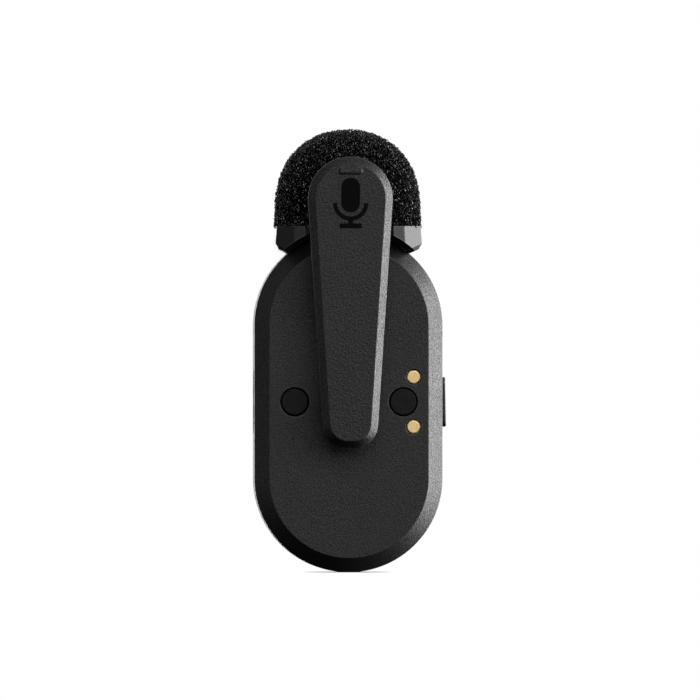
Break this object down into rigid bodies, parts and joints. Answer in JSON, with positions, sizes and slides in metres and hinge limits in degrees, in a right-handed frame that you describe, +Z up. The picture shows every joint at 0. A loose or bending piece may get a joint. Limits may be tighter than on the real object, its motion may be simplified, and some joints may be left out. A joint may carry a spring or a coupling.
{
  "type": "lavalier microphone",
  "caption": "Clip-on wireless lavalier microphone: pill-shaped case with a spring clip, charging contacts and retaining magnets, and a microphone head under a foam windscreen.",
  "frame": {"origin": "middle of the case's flat rear face, halfway between the two retaining magnets", "axes": "+Z up the case to the windscreen, +Y from the rear face to the front face, +X to the button side; the clip is on the -Y side"},
  "size_m": [0.0279, 0.0211, 0.0641],
  "materials": {
    "case_plastic": "fine spark-eroded texture, satin black",
    "clip_plastic": "coarser moulded grain, satin black",
    "bracket_plastic": "satin black",
    "collar_plastic": "smooth satin black",
    "foam": "open-cell acoustic foam",
    "pad_rubber": "soft matte",
    "seal_rubber": "silicone, matte",
    "magnet_coating": "black epoxy-coated magnet",
    "gold_plate": "gold-plated, satin",
    "leaf_spring": "bronze strip",
    "button_plastic": "semi-gloss black",
    "pin_steel": "ground",
    "spring_steel": "drawn music wire",
    "screw_steel": "black oxide",
    "shell_steel": "tin-plated",
    "socket_plastic": "moulded",
    "plunger_plastic": "moulded",
    "board_laminate": "solder mask over laminate",
    "chip_epoxy": "moulded epoxy",
    "lamp_epoxy": "clear epoxy",
    "pipe_acrylic": "frosted acrylic",
    "cell_foil": "pouch foil",
    "tray_plastic": "moulded",
    "tape_foam": "foam tape",
    "wire_jacket": "insulated wire",
    "head_plastic": "smooth moulded black",
    "capsule_metal": "drawn can",
    "mesh_cloth": "woven acoustic cloth",
    "grille_metal": "black-painted stamping"
  },
  "bodies": {
    "case": {"rear_cover": "case_plastic", "front_cover": "case_plastic", "clip_bracket": "bracket_plastic", "lower_gasket": "seal_rubber", "upper_left_gasket": "seal_rubber", "upper_right_gasket": "seal_rubber", "button_seal": "seal_rubber", "head_ring": "seal_rubber", "capsule_boot": "seal_rubber", "left_magnet": "magnet_coating", "right_magnet": "magnet_coating", "upper_contact": "gold_plate", "lower_contact": "gold_plate", "upper_contact_spring": "leaf_spring", "lower_contact_spring": "leaf_spring", "clip_spring": "spring_steel", "bracket_screws": "screw_steel", "board_screws": "screw_steel", "usb_shell": "shell_steel", "radio_shield": "shell_steel", "antenna": "shell_steel", "usb_tongue": "socket_plastic", "switch_body": "socket_plastic", "main_board": "board_laminate", "board_chips": "chip_epoxy", "radio_chip": "chip_epoxy", "status_lamp": "lamp_epoxy", "light_pipe": "pipe_acrylic", "battery_cell": "cell_foil", "battery_tray": "tray_plastic", "battery_tape": "tape_foam", "battery_leads": "wire_jacket", "capsule_wires": "wire_jacket", "mic_head": "head_plastic", "mic_capsule": "capsule_metal", "acoustic_mesh": "mesh_cloth", "mic_grille": "grille_metal"},
    "clip": {"clip_lever": "clip_plastic", "clip_pad": "pad_rubber", "pivot_pin": "pin_steel"},
    "button": {"side_button": "button_plastic", "switch_plunger": "plunger_plastic"},
    "windscreen": {"windscreen_collar": "collar_plastic", "windscreen_foam": "foam"}
  },
  "joints": [
    {"name": "clip_hinge", "type": "hinge", "parent": "case", "child": "clip", "pos_m": [0, -0.0032, 0.018], "axis": [-1, 0, 0], "range_deg": [0, 13], "stiffness_Nm_per_rad": 0.04, "deforming": ["clip_spring"]},
    {"name": "button_press", "type": "slide", "parent": "case", "child": "button", "axis": [-1, 0, 0], "range_m": [0, 0.00025], "stiffness_N_per_m": 20},
    {"name": "windscreen_lift", "type": "slide", "parent": "case", "child": "windscreen", "axis": [0, 0, 1], "range_m": [0, 0.02]}
  ]
}
